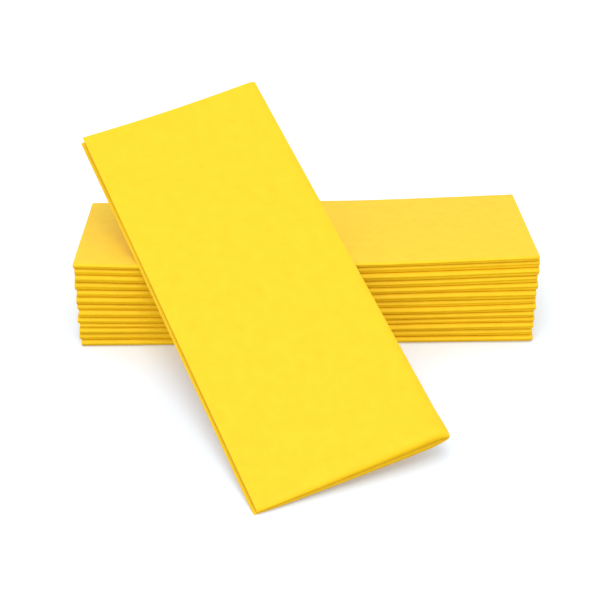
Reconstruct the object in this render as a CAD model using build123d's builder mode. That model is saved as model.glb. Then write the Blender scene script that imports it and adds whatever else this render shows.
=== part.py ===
from build123d import *
import os
from math import asin, atan2, cos, degrees, hypot, radians, sin, tan

os.makedirs("parts", exist_ok=True)

# Stack of folded paper napkins with one more napkin leaning on it, in millimetres.
# The origin is the middle of the stack's underside: X runs along the folds, +Y away from them, +Z up.

# The sheet, cut and then folded in half three times
sheet_length = 390.0  # along the stack, halved by the second fold
sheet_width = 330.0  # across the stack, halved by the first and by the third fold
paper_thickness = 0.19
layer_gap = 0.08  # air in the middle of a leaf

# The stack
roll_air = 1.5  # hollow inside the rounded third fold
# share of that hollow in each napkin, from the lowest to the top one
looseness = (0.88, 1.15, 0.95, 0.48, 0.88, 1.21, 0.81, 1.48, 1.21, 1.21, 1.28, 1.15, 0.41)
open_gap = 0.05  # between the two leaves at their open edge
rest_gap = 0.02  # between a napkin and what it lies on
sway = 0.35  # how far a napkin lies out of line with the stack
sway_turn = 137.5  # degrees, spreads the directions of the sway

# The napkin that leans on the front of the stack
lean_slope = 22.0  # degrees between its underside and the floor
lean_turn = 22.8  # degrees that it is turned on that slope
lean_x = -22.1  # where its lowest corner stands
lean_roll_air = 1.45
lean_open_gap = 1.5

# The first fold makes the sheet a web of two layers. The second lays that web on itself, and this leaf of
# four layers is then rolled over once more, into a lower and an upper leaf.
web_thickness = 2 * paper_thickness
leaf_thickness = 2 * web_thickness + layer_gap
leaf_width = sheet_width / 2
napkin_length = sheet_length / 2
napkin_depth = sheet_width / 4


def leaf_angle(radius, tail_gap):
    """Degrees by which the upper leaf falls towards the lower one, behind the roll."""
    reach = napkin_depth - radius
    rise = radius - (2 * leaf_thickness + tail_gap)
    return degrees(atan2(rise, reach) + asin(radius / hypot(reach, rise)))


def fold_line(radius, tail_gap, inset):
    """Line at one depth under the leaf's outside, from the lower open edge round the roll to the upper one."""
    turn = 180 + leaf_angle(radius, tail_gap)
    lower_run = napkin_depth - radius
    upper_run = leaf_width - lower_run - radians(turn) * (radius - leaf_thickness / 2)
    with BuildLine() as line:
        lower = Line((napkin_depth, inset), (radius, inset))
        roll = JernArc(lower @ 1, lower % 1, radius - inset, -turn)
        PolarLine(roll @ 1, upper_run, direction=roll % 1)
    return line.line


def fold_napkin(cut_plane, radius, tail_gap, turned_over=False):
    """A napkin from its cut end on the plane to its second fold. Turned over, it runs the other way."""
    way = -1 if turned_over else 1
    first_fold = 0 if turned_over else 1
    bend = leaf_thickness / 2
    bend_plane = cut_plane.offset(way * (napkin_length - bend))
    with BuildPart() as folded:
        with BuildSketch(cut_plane):
            for inset in (web_thickness / 2, leaf_thickness - web_thickness / 2):
                web = fold_line(radius, tail_gap, inset)
                trace(web, web_thickness)
                with Locations(web @ first_fold):
                    Circle(web_thickness / 2)
        extrude(amount=way * (napkin_length - bend))
        second_fold = fold_line(radius, tail_gap, bend).moved(bend_plane.location)
        nose_plane = Plane(origin=second_fold @ 0, x_dir=cut_plane.z_dir * way, z_dir=second_fold % 0)
        with BuildSketch(nose_plane):
            with BuildLine():
                Polyline((0, -bend), (bend, -bend / 2), (bend, bend / 2), (0, bend), close=True)
            make_face()
        sweep(path=second_fold)
    return folded.part


# The stack: each napkin lies on the one below, so the seats tilt more and more towards the open edges
front = -napkin_depth / 2
seat_height = 0.0  # of the seat, at the front of the stack
seat_slope = 0.0  # radians that the seat falls towards the back
for number, loose in enumerate(looseness):
    radius = leaf_thickness + roll_air * loose / 2
    sway_angle = radians(sway_turn * number)
    axis_y = front + radius + sway * sin(sway_angle)
    axis_z = seat_height - (axis_y - front) * tan(seat_slope) + radius / cos(seat_slope)
    cut_plane = Plane(
        origin=(
            sway * cos(sway_angle) - napkin_length / 2,
            axis_y - radius * (cos(seat_slope) + sin(seat_slope)),
            axis_z - radius * (cos(seat_slope) - sin(seat_slope)),
        ),
        x_dir=(0, cos(seat_slope), -sin(seat_slope)),
        z_dir=(1, 0, 0),
    )
    with BuildPart() as napkin:
        add(fold_napkin(cut_plane, radius, open_gap))
    napkin.part.label = f"napkin_{number + 1:02d}"
    export_step(napkin.part, f"parts/{napkin.part.label}.step")
    seat_slope += radians(leaf_angle(radius, open_gap))
    seat_height = axis_z + (radius + rest_gap) / cos(seat_slope) + (axis_y - front) * tan(seat_slope)

# The leaning napkin lies on the top napkin's roll, and has slid down it until one corner stands on the floor
slope = radians(lean_slope)
up_slope = Vector(0, cos(slope), sin(slope))
across = Vector(1, 0, 0).rotate(Axis((0, 0, 0), Vector(1, 0, 0).cross(up_slope)), lean_turn)
along = up_slope.rotate(Axis((0, 0, 0), Vector(1, 0, 0).cross(up_slope)), lean_turn)
corner_y = axis_y - (axis_z * cos(slope) + radius + rest_gap) / sin(slope)
top_end = Vector(lean_x, corner_y, 0) + across * napkin_depth + along * napkin_length
lean_plane = Plane(origin=top_end, x_dir=across * -1, z_dir=along)
leaning = fold_napkin(lean_plane, leaf_thickness + lean_roll_air / 2, lean_open_gap, turned_over=True)
slide = leaning.bounding_box().min.Z / sin(slope)
with BuildPart() as leaning_napkin:
    with Locations(up_slope * -slide):
        add(leaning)
leaning_napkin.part.label = "leaning_napkin"
export_step(leaning_napkin.part, "parts/leaning_napkin.step")
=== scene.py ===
from math import asin, atan2, cos, hypot, pi, radians, sin, tan

import bpy
import numpy as np
from mathutils import Matrix, Vector


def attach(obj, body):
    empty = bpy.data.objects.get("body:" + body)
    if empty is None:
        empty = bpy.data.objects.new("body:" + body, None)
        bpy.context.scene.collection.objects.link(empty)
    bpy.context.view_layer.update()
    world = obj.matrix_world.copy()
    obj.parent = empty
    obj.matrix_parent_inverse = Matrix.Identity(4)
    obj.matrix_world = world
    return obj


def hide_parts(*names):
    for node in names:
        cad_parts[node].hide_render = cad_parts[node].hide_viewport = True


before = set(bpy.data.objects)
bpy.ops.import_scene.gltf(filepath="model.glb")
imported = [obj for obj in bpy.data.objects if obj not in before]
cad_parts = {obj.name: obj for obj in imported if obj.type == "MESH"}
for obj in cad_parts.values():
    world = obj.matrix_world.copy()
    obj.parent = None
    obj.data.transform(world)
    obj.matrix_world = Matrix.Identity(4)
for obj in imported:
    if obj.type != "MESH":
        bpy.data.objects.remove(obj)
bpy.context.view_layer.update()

# Lengths are in millimetres, as in the part, and MM turns them into Blender's metres. Angles are in degrees.
MM = 0.001
SEED = 11

# The cut sheet. The first fold halves its width, the second its length and the third its width again.
SHEET_LENGTH = 390.0
SHEET_WIDTH = 330.0
NAPKIN_LENGTH = SHEET_LENGTH / 2
NAPKIN_DEPTH = SHEET_WIDTH / 4
LEAF_THICKNESS = 0.84  # four layers of paper and the air between them
LAYER_THICKNESS = 0.16
FIRST_BEND = 0.095  # radius of the first fold, at the middle of the paper
SECOND_BEND = 0.23  # the same of the second fold, which bends two layers at once
CUT_SLIP = 0.12  # how far a fold may lie off the middle of the sheet

# The stack
ROLL_AIR = 1.5  # hollow inside the rounded third fold
# share of that hollow in each napkin, from the lowest to the top one
LOOSENESS = (0.88, 1.15, 0.95, 0.48, 0.88, 1.21, 0.81, 1.48, 1.21, 1.21, 1.28, 1.15, 0.41)
OPEN_GAP = 0.05  # between the two leaves at their open edge
REST_GAP = 0.02  # between a napkin and what it lies on
SWAY = 0.35  # how far a napkin lies out of line with the stack
SWAY_TURN = 137.5  # spreads the directions of the sway
YAW = 0.12  # by which a napkin may be turned on its seat

# The stack's ends stand a little higher than its middle, most of all where the second folds are
RIGHT_RISE = 2.6
RIGHT_RISE_FROM = 22.0  # place along the stack
RIGHT_RISE_POWER = 1.2
LEFT_RISE = 1.0
LEFT_RISE_FROM = -70.0

# Slow waves along the stack's rolls. Each has its length along the stack and its length up the stack,
# both for one radian, and its phase in radians.
WAVE_HEIGHT = 0.22
HEIGHT_WAVES = ((31.0, 1.9, 0.0), (17.0, -2.7, 1.3))
WAVE_DEPTH = 0.16
DEPTH_WAVES = ((23.0, -1.7, 0.6), (41.0, 2.3, 2.1))

# The nose of a stacked roll. Levels are shares of the roll's height.
TUCK_LEFT = 0.35  # how far the roll's lower half lies behind its upper half
TUCK_RIGHT = 0.75
TUCK_LEVEL = 0.62  # the tuck begins below this level
TUCK_FADE = 0.3
PINCH_DEPTH = 0.45  # of the groove that the second fold leaves in the nose
PINCH_REACH = 60.0
PINCH_LEVEL = 0.45
PINCH_SPREAD = 0.16
END_REACH = 2.6  # of the rounding at the second fold
END_DEPTH = 0.5
END_FLATTENING = 0.22  # share of the roll's height

# The napkin that leans on the front of the stack, with its second fold at the lower end
LEAN_SLOPE = 22.0
LEAN_TURN = 22.8  # by which it is turned on that slope
LEAN_X = -22.1  # where its lowest corner stands
LEAN_ROLL_AIR = 1.45
LEAN_OPEN_GAP = 1.5
LEAN_UNEVEN = 0.45  # its lower leaf is longer by this and the upper one shorter
LEAN_ROLL_REACH = 4.2  # its third fold is an oval, that much deep
LEAN_TIP_DEPTH = 0.05  # the oval is worked out no nearer to its tip than this
LEAN_SWELL = 1.55  # by which share the roll is taller at the second fold
LEAN_SWELL_REACH = 70.0
LEAN_DROOP = 2.3  # of the roll there
LEAN_END_REACH = 7.0  # the oval is deeper by this there
LEAN_END_UPPER = 0.4  # share of that in the upper leaf
LEAN_LIP = 1.3  # how far the upper leaf's end bends down
LEAN_LIP_REACH = 4.5
LEAN_LIP_FADE = 0.7  # share of that bend which is lost towards the open edge
LEAN_FREE_FROM = 126.0  # beyond this distance from its lower end it is in the air
LEAN_SAG = 1.0  # of the lower leaf's free corner
LEAN_TROUGH = 1.2  # by which the free end dips between its edges
LEAN_SINK = 0.85  # by which its lowest corner is pressed flat
PRESS_HEIGHT = 1.4  # what lies lower is pressed together

# The second fold of the leaning napkin is puffed up
PUFF_HEIGHT = 0.95  # half the thickness of a leaf there
PUFF_LENGTH = 1.6  # of its rounded end
PUFF_REACH = 14.0

# How finely the sheet is divided
RUN_STEPS = 18  # along each flat run across the napkin
ROLL_STEPS = 36  # round the third fold
EDGE_STEPS = 6  # round the first fold
LENGTH_STEPS = 40  # along half the sheet
NOSE_STEPS = 8  # round the second fold
CREASE_ANGLE = 45.0  # edges that are sharper than this are not shaded smooth

# The paper: values of its shader, its clouds and its fibres. Noise scales count features in a metre.
PAPER_SURFACE = {
    "Roughness": 0.6,
    "Specular IOR Level": 0.3,
    "Sheen Weight": 0.02,
    "Sheen Roughness": 0.6,
    "Sheen Tint": (1.0, 0.9, 0.55, 1.0),
}
CLOUDS = {"Scale": 190.0, "Detail": 3.0}
CLOUD_TINTS = ((0.3, (0.880, 0.564, 0.0060, 1.0)), (0.7, (0.915, 0.603, 0.0095, 1.0)))
FIBRES = {"Scale": 1900.0, "Detail": 4.0, "Distortion": 1.5}
FIBRE_BUMP = {"Strength": 0.25, "Distance": 0.06 * MM}

# The floor, which glows faintly
FLOOR_SURFACE = {
    "Base Color": (0.87, 0.935, 1.0, 1.0),
    "Roughness": 0.9,
    "Specular IOR Level": 0.1,
    "Emission Color": (0.58, 0.75, 1.0, 1.0),
    "Emission Strength": 0.12,
}
FLOOR_REACH = 3000.0
FLOOR_DROP = 0.1  # below the stack's underside

# The surround: its colours by the sine of elevation, at shares of the way from the bottom to the top
SURROUND_BOTTOM = -1.0
SURROUND_TOP = 0.5
SURROUND_TINTS = (
    (0.0, (0.10, 0.08, 0.03, 1.0)),
    (0.30, (0.48, 0.36, 0.05, 1.0)),
    (0.50, (1.42, 1.13, 0.10, 1.0)),
    (0.67, (1.38, 1.32, 1.24, 1.0)),
    (0.80, (1.22, 1.24, 1.27, 1.0)),
    (1.0, (0.82, 0.86, 0.89, 1.0)),
)

# Lamps: name, azimuth, elevation, diameter, watts, colour
SOFTBOXES = (
    ("key", -8.0, 67.0, 900.0, 7.0, (1.0, 0.98, 0.95)),
    ("fill", -50.0, 74.0, 2000.0, 3.4, (0.90, 0.95, 1.0)),
)
SOFTBOX_DISTANCE = 1500.0

# The camera, placed by what it looks at
CAMERA_TARGET = (-3.158, -42.097, 24.681)
CAMERA_DISTANCE = 686.12
CAMERA_AZIMUTH = -1.08
CAMERA_ELEVATION = 35.58
CAMERA_ROLL = 0.054
CAMERA_LENS = 97.281
CAMERA_SENSOR = 36.0
CAMERA_NEAREST = 10.0


def smooth(value):
    """0 below 0, 1 above 1 and an S-curve between."""
    t = np.clip(value, 0, 1)
    return t * t * (3 - 2 * t)


def oval(distance, reach):
    """Half thickness of a rounded end at a distance from its tip, as a share of the full one."""
    t = np.clip(1 - distance / reach, 0, 1)
    return np.sqrt(1 - t * t)


def u_turn(along, off, fold_at, radius):
    """Folds a strip back on itself. along runs with the strip and off across its thickness."""
    start = fold_at - pi * radius / 2
    angle = np.clip((along - start) / radius, 0, pi)
    before = np.minimum(along, start)
    after = np.maximum(along - start - pi * radius, 0)
    return before + (radius - off) * np.sin(angle) - after, -(radius - off) * np.cos(angle)


def fold_twice(length, width, off, slips):
    """The first and the second fold: place across the leaf, along it and off the middle of its thickness."""
    across, layer = u_turn(width, off, SHEET_WIDTH / 2 + slips[0], FIRST_BEND)
    along, layer = u_turn(length, layer, SHEET_LENGTH / 2 + slips[1], SECOND_BEND)
    return across, along, layer


def puff(tip_distance):
    """By how much the second fold's layers are spread."""
    tight = SECOND_BEND + FIRST_BEND + LAYER_THICKNESS / 2
    full = PUFF_HEIGHT + (tight - PUFF_HEIGHT) * smooth((tip_distance - PUFF_LENGTH) / PUFF_REACH)
    return full * oval(tip_distance, PUFF_LENGTH) / (tight * oval(tip_distance, tight))


def leaf_angle(roll_height, open_gap):
    """Angle in radians by which the upper leaf falls towards the lower one, behind the roll."""
    radius = roll_height / 2
    reach = NAPKIN_DEPTH - radius
    rise = radius - (2 * LEAF_THICKNESS + open_gap)
    return atan2(rise, reach) + asin(radius / hypot(reach, rise))


def roll_over(along, off, roll_height, angle, uneven):
    """The third fold: lays a leaf from the lower open edge round the roll to the upper open edge."""
    radius = roll_height / 2
    middle = radius - LEAF_THICKNESS / 2
    lower_run = NAPKIN_DEPTH - radius + uneven
    turn = np.clip((along - lower_run) / middle, 0, pi + angle)
    behind = lower_run - np.minimum(along, lower_run)
    upper_run = np.maximum(along - lower_run - middle * (pi + angle), 0)
    depth = radius + behind - (middle + off) * np.sin(turn) + upper_run * cos(angle)
    height = radius - (middle + off) * np.cos(turn) - upper_run * sin(angle)
    return depth, height


def knots_across(roll_height, angle, turned_over):
    """Places across the sheet, close together where it bends and beside the roll."""
    radius = roll_height / 2
    roll_start = NAPKIN_DEPTH - radius
    roll_end = roll_start + (radius - LEAF_THICKNESS / 2) * (pi + angle)
    if turned_over:
        roll_start, roll_end = SHEET_WIDTH / 2 - roll_end, SHEET_WIDTH / 2 - roll_start
    edge = SHEET_WIDTH / 2 - pi * FIRST_BEND / 2
    nearing = np.linspace(1, 0, RUN_STEPS, endpoint=False) ** 2
    leaving = np.linspace(0, 1, RUN_STEPS, endpoint=False) ** 2
    half = np.concatenate([
        roll_start * (1 - nearing),
        np.linspace(roll_start, roll_end, ROLL_STEPS, endpoint=False),
        roll_end + (edge - roll_end) * leaving,
    ])
    bend = np.linspace(edge, SHEET_WIDTH - edge, EDGE_STEPS + 1)
    return np.concatenate([half, bend, SHEET_WIDTH - half[::-1]])


def knots_along():
    """Places along the sheet, close together near its ends and round the second fold."""
    nose = SHEET_LENGTH / 2 - pi * SECOND_BEND / 2
    half = nose * (0.5 - 0.5 * np.cos(np.linspace(0, pi, LENGTH_STEPS + 1)))[:-1]
    bend = np.linspace(nose, SHEET_LENGTH - nose, NOSE_STEPS + 1)
    return np.concatenate([half, bend, SHEET_LENGTH - half[::-1]])


def folded_sheet(roll_height, open_gap, slips, turned_over=False, uneven=0.0, puffed=False):
    """Both faces of the sheet, folded three times: length, depth and height of each point, face by face.

    Turned over, the napkin has its first fold at the lower open edge instead of the upper one.
    """
    angle = leaf_angle(roll_height, open_gap)
    length, width = np.meshgrid(knots_along(), knots_across(roll_height, angle, turned_over), indexing="ij")
    second_fold = SHEET_LENGTH / 2 + slips[1]
    tip = second_fold + (1 - pi / 2) * SECOND_BEND + FIRST_BEND + LAYER_THICKNESS / 2
    spread = 0.0
    if puffed:
        _, along, layer = fold_twice(length, width, 0, slips)
        spread = layer * (puff(tip - along) - 1)
    faces = []
    for off in (LAYER_THICKNESS / 2, -LAYER_THICKNESS / 2):
        across, along, layer = fold_twice(length, width, off, slips)
        if turned_over:
            across = SHEET_WIDTH / 2 - across
        depth, height = roll_over(across, layer + spread, roll_height, angle, uneven)
        faces.append(np.stack([along + NAPKIN_LENGTH - tip, depth, height], axis=-1))
    return np.stack(faces)


def grid_quads(grid):
    """The quads between the points of a grid."""
    corners = [grid[:-1, :-1], grid[1:, :-1], grid[1:, 1:], grid[:-1, 1:]]
    return np.stack(corners, axis=-1).reshape(-1, 4)


def grid_rim(grid):
    """The points round the outside of a grid, in turn."""
    return np.concatenate([grid[0, :], grid[1:, -1], grid[-1, -2::-1], grid[-2:0:-1, 0]])


def sheet_quads(rows, columns):
    """The quads that close two grids of points into one thin sheet."""
    top, under = np.arange(2 * rows * columns).reshape(2, rows, columns)
    rim_top = grid_rim(top)
    rim_under = grid_rim(under)
    rim = np.stack([rim_top, np.roll(rim_top, -1), np.roll(rim_under, -1), rim_under], axis=-1)
    return np.concatenate([grid_quads(top), grid_quads(under)[:, ::-1], rim])


def sheet_object(name, faces, material):
    """A smooth mesh object from the two faces of a sheet, in millimetres."""
    quads = sheet_quads(*faces.shape[1:3])
    mesh = bpy.data.meshes.new(name)
    mesh.from_pydata((faces.reshape(-1, 3) * MM).tolist(), [], quads.tolist())
    mesh.shade_smooth()
    mesh.set_sharp_from_angle(angle=radians(CREASE_ANGLE))
    mesh.materials.append(material)
    piece = bpy.data.objects.new(name, mesh)
    bpy.context.scene.collection.objects.link(piece)
    return piece


def dress(piece, node):
    """Attaches a folded napkin to the root body in place of its plain solid, which it hides."""
    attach(piece, "root")
    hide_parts(node)


def shape_nose(sheet, roll_height):
    """A stacked roll's nose: its lower half is tucked in, and the second fold pinches and rounds its end."""
    along, depth, height = np.moveaxis(sheet, -1, 0)
    level = height / roll_height
    from_end = NAPKIN_LENGTH - along
    near_nose = np.clip(1 - depth / roll_height, 0, 1)
    tuck = TUCK_LEFT + (TUCK_RIGHT - TUCK_LEFT) * smooth(along / NAPKIN_LENGTH)
    tuck = tuck * smooth((TUCK_LEVEL - level) / TUCK_FADE)
    groove = np.exp(-((level - PINCH_LEVEL) / PINCH_SPREAD) ** 2)
    groove = PINCH_DEPTH * smooth(1 - from_end / PINCH_REACH) * groove
    rounding = np.clip(1 - from_end / END_REACH, 0, 1) ** 2
    depth = depth + (tuck + groove + END_DEPTH * rounding) * near_nose
    height = height + (0.5 - level) * roll_height * END_FLATTENING * rounding * near_nose
    return np.stack([along, depth, height], axis=-1)


def lay_on_seat(sheet, radius, axis, seat_slope, yaw):
    """Turns a sheet a little on its tilted seat, with its roll's axis through the given point."""
    along, depth, height = np.moveaxis(sheet, -1, 0)
    along = along - NAPKIN_LENGTH / 2
    depth = depth - NAPKIN_DEPTH / 2
    x = along * cos(yaw) - depth * sin(yaw) + axis[0]
    depth = along * sin(yaw) + depth * cos(yaw) + NAPKIN_DEPTH / 2
    y = axis[1] + (depth - radius) * cos(seat_slope) + (height - radius) * sin(seat_slope)
    z = axis[2] - (depth - radius) * sin(seat_slope) + (height - radius) * cos(seat_slope)
    return np.stack([x, y, z], axis=-1)


def waves(x, z, parts):
    """The sum of a few sine waves that run along and up the stack."""
    return sum(np.sin(x / length + z / rise + phase) for length, rise, phase in parts)


def settle(points, top_height, top_slope):
    """Raises the stack's ends and runs its rolls in slow waves.

    The top is that of the whole stack, with its height at the front and its slope towards the back.
    """
    x, y, z = np.moveaxis(points, -1, 0)
    half = NAPKIN_LENGTH / 2
    at_front = smooth(0.5 - y / NAPKIN_DEPTH)
    right = np.clip((x - RIGHT_RISE_FROM) / (half - RIGHT_RISE_FROM), 0, 1) ** RIGHT_RISE_POWER
    left = smooth((LEFT_RISE_FROM - x) / (half + LEFT_RISE_FROM)) * at_front
    level = np.clip(z / (top_height - (y + NAPKIN_DEPTH / 2) * tan(top_slope)), 0, 1)
    rise = level * (RIGHT_RISE * right + LEFT_RISE * left)
    loose = np.sin(pi * level) * at_front
    rise = rise + WAVE_HEIGHT / 2 * loose * waves(x, z, HEIGHT_WAVES)
    shift = WAVE_DEPTH / 2 * loose * waves(x, z, DEPTH_WAVES)
    return np.stack([x, y + shift, z + rise], axis=-1)


def make_stack(material, chance):
    """The stacked napkins, each on the tilted seat that the one below gives it.

    Returns the top roll's axis, its radius and the top napkin's name.
    """
    front = -NAPKIN_DEPTH / 2
    seat_height = 0.0  # of the seat, at the front of the stack
    seat_slope = 0.0  # radians that the seat falls towards the back
    sheets = []
    for number, loose in enumerate(LOOSENESS):
        roll_height = 2 * LEAF_THICKNESS + ROLL_AIR * loose
        radius = roll_height / 2
        sway_angle = radians(SWAY_TURN * number)
        axis_x = SWAY * cos(sway_angle)
        axis_y = front + radius + SWAY * sin(sway_angle)
        axis_z = seat_height - (axis_y - front) * tan(seat_slope) + radius / cos(seat_slope)
        yaw = radians(chance.uniform(-YAW, YAW))
        slips = chance.uniform(-CUT_SLIP, CUT_SLIP, 2)
        sheet = shape_nose(folded_sheet(roll_height, OPEN_GAP, slips), roll_height)
        sheets.append(lay_on_seat(sheet, radius, (axis_x, axis_y, axis_z), seat_slope, yaw))
        seat_slope += leaf_angle(roll_height, OPEN_GAP)
        seat_height = axis_z + (radius + REST_GAP) / cos(seat_slope) + (axis_y - front) * tan(seat_slope)
    below = []
    for number, sheet in enumerate(sheets, start=1):
        node = f"napkin_{number:02d}"
        piece = sheet_object(f"folded_{node}", settle(sheet, seat_height, seat_slope), material)
        dress(piece, node)
        below = [piece.name]
    return axis_y, axis_z, radius, below


def shape_leaning(sheet, roll_height):
    """The leaning napkin's own form: an oval roll, swollen at the lower end, and an upper end that dips.

    Returns each point's distance from the lower end, its depth and its height.
    """
    along, depth, height = np.moveaxis(sheet, -1, 0)
    from_end = NAPKIN_LENGTH - along
    lower_leaf = 1 - smooth(height / roll_height)
    near_edge = np.clip(depth / NAPKIN_DEPTH, 0, 1)
    near_end = smooth(1 - from_end / LEAN_SWELL_REACH)
    inside = np.maximum(depth, LEAN_TIP_DEPTH)
    deeper = LEAN_END_REACH * near_end * (LEAN_END_UPPER + (1 - LEAN_END_UPPER) * lower_leaf)
    flatter = oval(inside, LEAN_ROLL_REACH + deeper) / oval(inside, roll_height / 2)
    height = roll_height / 2 + (height - roll_height / 2) * flatter
    height = height * (1 + LEAN_SWELL * near_end * (1 - near_edge))
    height = height - LEAN_DROOP * near_end * (1 - near_edge**2)
    lip = LEAN_LIP * (1 - LEAN_LIP_FADE * near_edge) * np.clip(1 - from_end / LEAN_LIP_REACH, 0, 1) ** 2
    height = height - lip * (1 - lower_leaf)
    free = smooth((from_end - LEAN_FREE_FROM) / (NAPKIN_LENGTH - LEAN_FREE_FROM))
    height = height - LEAN_SAG * lower_leaf * free * near_edge
    height = height - LEAN_TROUGH * free * np.sin(pi * near_edge)
    return from_end, depth, height


def press_on_floor(z):
    """Presses what lies low together, so that what would sink into the floor lies on it, layer on layer."""
    share = np.clip((z + LEAN_SINK) / (PRESS_HEIGHT + LEAN_SINK), 0, 1)
    pressed = PRESS_HEIGHT * share ** (1 + LEAN_SINK / PRESS_HEIGHT)
    return np.where(z < PRESS_HEIGHT, pressed, z)


def make_leaning_napkin(material, chance, axis_y, axis_z, radius, below):
    """The napkin that stands on one corner and lies on the top napkin's roll."""
    slope = radians(LEAN_SLOPE)
    turn = radians(LEAN_TURN)
    level = np.array([1.0, 0, 0])
    up_slope = np.array([0, cos(slope), sin(slope)])
    across_axis = cos(turn) * level + sin(turn) * up_slope
    along_axis = cos(turn) * up_slope - sin(turn) * level
    normal = np.cross(level, up_slope)
    corner = np.array([LEAN_X, axis_y - (axis_z * cos(slope) + radius + REST_GAP) / sin(slope), 0])
    slips = chance.uniform(-CUT_SLIP, CUT_SLIP, 2)
    roll_height = 2 * LEAF_THICKNESS + LEAN_ROLL_AIR
    sheet = folded_sheet(
        roll_height, LEAN_OPEN_GAP, slips, turned_over=True, uneven=LEAN_UNEVEN, puffed=True
    )
    from_end, depth, height = shape_leaning(sheet, roll_height)
    points = (
        corner
        + (NAPKIN_DEPTH - depth)[..., None] * across_axis
        + height[..., None] * normal
        + from_end[..., None] * along_axis
    )
    points -= up_slope * (points[..., 2].min() + LEAN_SINK) / sin(slope)
    points[..., 2] = press_on_floor(points[..., 2])
    piece = sheet_object("folded_leaning_napkin", points, material)
    dress(piece, "leaning_napkin")


def set_inputs(node, values):
    """Sets a node's own sockets by their names."""
    for socket, value in values.items():
        node.inputs[socket].default_value = value


def set_ramp(ramp, stops):
    """Gives a colour ramp, which has two elements at first, its places and colours."""
    for position, _ in stops[1:-1]:
        ramp.elements.new(position)
    for element, (position, colour) in zip(ramp.elements, stops):
        element.position = position
        element.color = colour


def paper_material():
    """Soft yellow airlaid paper: faintly cloudy colour, fine fibres and a trace of sheen."""
    material = bpy.data.materials.new("yellow_airlaid_paper")
    material.use_nodes = True
    nodes, links = material.node_tree.nodes, material.node_tree.links
    shader = nodes["Principled BSDF"]
    set_inputs(shader, PAPER_SURFACE)
    place = nodes.new("ShaderNodeTexCoord")

    clouds = nodes.new("ShaderNodeTexNoise")
    set_inputs(clouds, CLOUDS)
    links.new(place.outputs["Object"], clouds.inputs["Vector"])
    tint = nodes.new("ShaderNodeValToRGB")
    set_ramp(tint.color_ramp, CLOUD_TINTS)
    links.new(clouds.outputs["Fac"], tint.inputs["Fac"])
    links.new(tint.outputs["Color"], shader.inputs["Base Color"])

    fibres = nodes.new("ShaderNodeTexNoise")
    set_inputs(fibres, FIBRES)
    links.new(place.outputs["Object"], fibres.inputs["Vector"])
    bump = nodes.new("ShaderNodeBump")
    set_inputs(bump, FIBRE_BUMP)
    links.new(fibres.outputs["Fac"], bump.inputs["Height"])
    links.new(bump.outputs["Normal"], shader.inputs["Normal"])
    return material


def make_floor():
    """A plain white table top. It sends no light to the paper: the lower part of the surround does."""
    reach = FLOOR_REACH * MM
    mesh = bpy.data.meshes.new("floor")
    corners = [(-reach, -reach, 0), (reach, -reach, 0), (reach, reach, 0), (-reach, reach, 0)]
    mesh.from_pydata(corners, [], [(0, 1, 2, 3)])
    material = bpy.data.materials.new("white_table")
    material.use_nodes = True
    set_inputs(material.node_tree.nodes["Principled BSDF"], FLOOR_SURFACE)
    mesh.materials.append(material)
    floor = bpy.data.objects.new("floor", mesh)
    floor.location.z = -FLOOR_DROP * MM
    floor.visible_diffuse = False
    floor.visible_glossy = False
    bpy.context.scene.collection.objects.link(floor)


def direction_to(azimuth, elevation):
    """Direction from the stack, with the azimuth counted from the front to the right, both in radians."""
    return Vector((sin(azimuth) * cos(elevation), -cos(azimuth) * cos(elevation), sin(elevation)))


def make_surround():
    """A white studio, brightest round the horizon, warm just under it and dark straight below."""
    world = bpy.data.worlds.new("studio")
    world.use_nodes = True
    nodes, links = world.node_tree.nodes, world.node_tree.links
    direction = nodes.new("ShaderNodeTexCoord")
    parts = nodes.new("ShaderNodeSeparateXYZ")
    links.new(direction.outputs["Generated"], parts.inputs["Vector"])
    height = nodes.new("ShaderNodeMapRange")
    set_inputs(height, {"From Min": SURROUND_BOTTOM, "From Max": SURROUND_TOP})
    links.new(parts.outputs["Z"], height.inputs["Value"])
    shade = nodes.new("ShaderNodeValToRGB")
    set_ramp(shade.color_ramp, SURROUND_TINTS)
    links.new(height.outputs["Result"], shade.inputs["Fac"])
    links.new(shade.outputs["Color"], nodes["Background"].inputs["Color"])
    bpy.context.scene.world = world


def make_lamps():
    """Two large soft lamps, high in front and to the left."""
    for name, azimuth, elevation, diameter, watts, colour in SOFTBOXES:
        lamp = bpy.data.lights.new(name, "AREA")
        lamp.shape = "DISK"
        lamp.size = diameter * MM
        lamp.energy = watts
        lamp.color = colour
        softbox = bpy.data.objects.new(name, lamp)
        towards = direction_to(radians(azimuth), radians(elevation))
        softbox.location = towards * (SOFTBOX_DISTANCE * MM)
        softbox.rotation_euler = towards.to_track_quat("Z", "Y").to_euler()
        bpy.context.scene.collection.objects.link(softbox)


def make_camera():
    """The photograph's view: from the front, a little over a third of the way up."""
    azimuth = radians(CAMERA_AZIMUTH)
    roll = radians(CAMERA_ROLL)
    back = direction_to(azimuth, radians(CAMERA_ELEVATION))
    level = Vector((cos(azimuth), sin(azimuth), 0))
    upright = back.cross(level)
    right = level * cos(roll) + upright * sin(roll)
    up = upright * cos(roll) - level * sin(roll)
    place = Vector(CAMERA_TARGET) * MM + back * (CAMERA_DISTANCE * MM)
    camera = bpy.data.objects.new("camera", bpy.data.cameras.new("camera"))
    camera.data.sensor_width = CAMERA_SENSOR
    camera.data.lens = CAMERA_LENS
    camera.data.clip_start = CAMERA_NEAREST * MM
    camera.matrix_world = Matrix.Translation(place) @ Matrix((right, up, back)).transposed().to_4x4()
    bpy.context.scene.collection.objects.link(camera)
    bpy.context.scene.camera = camera


chance = np.random.default_rng(SEED)
paper = paper_material()
top_roll = make_stack(paper, chance)
make_leaning_napkin(paper, chance, *top_roll)
make_floor()
make_surround()
make_lamps()
make_camera()
bpy.context.scene.view_settings.view_transform = "Standard"
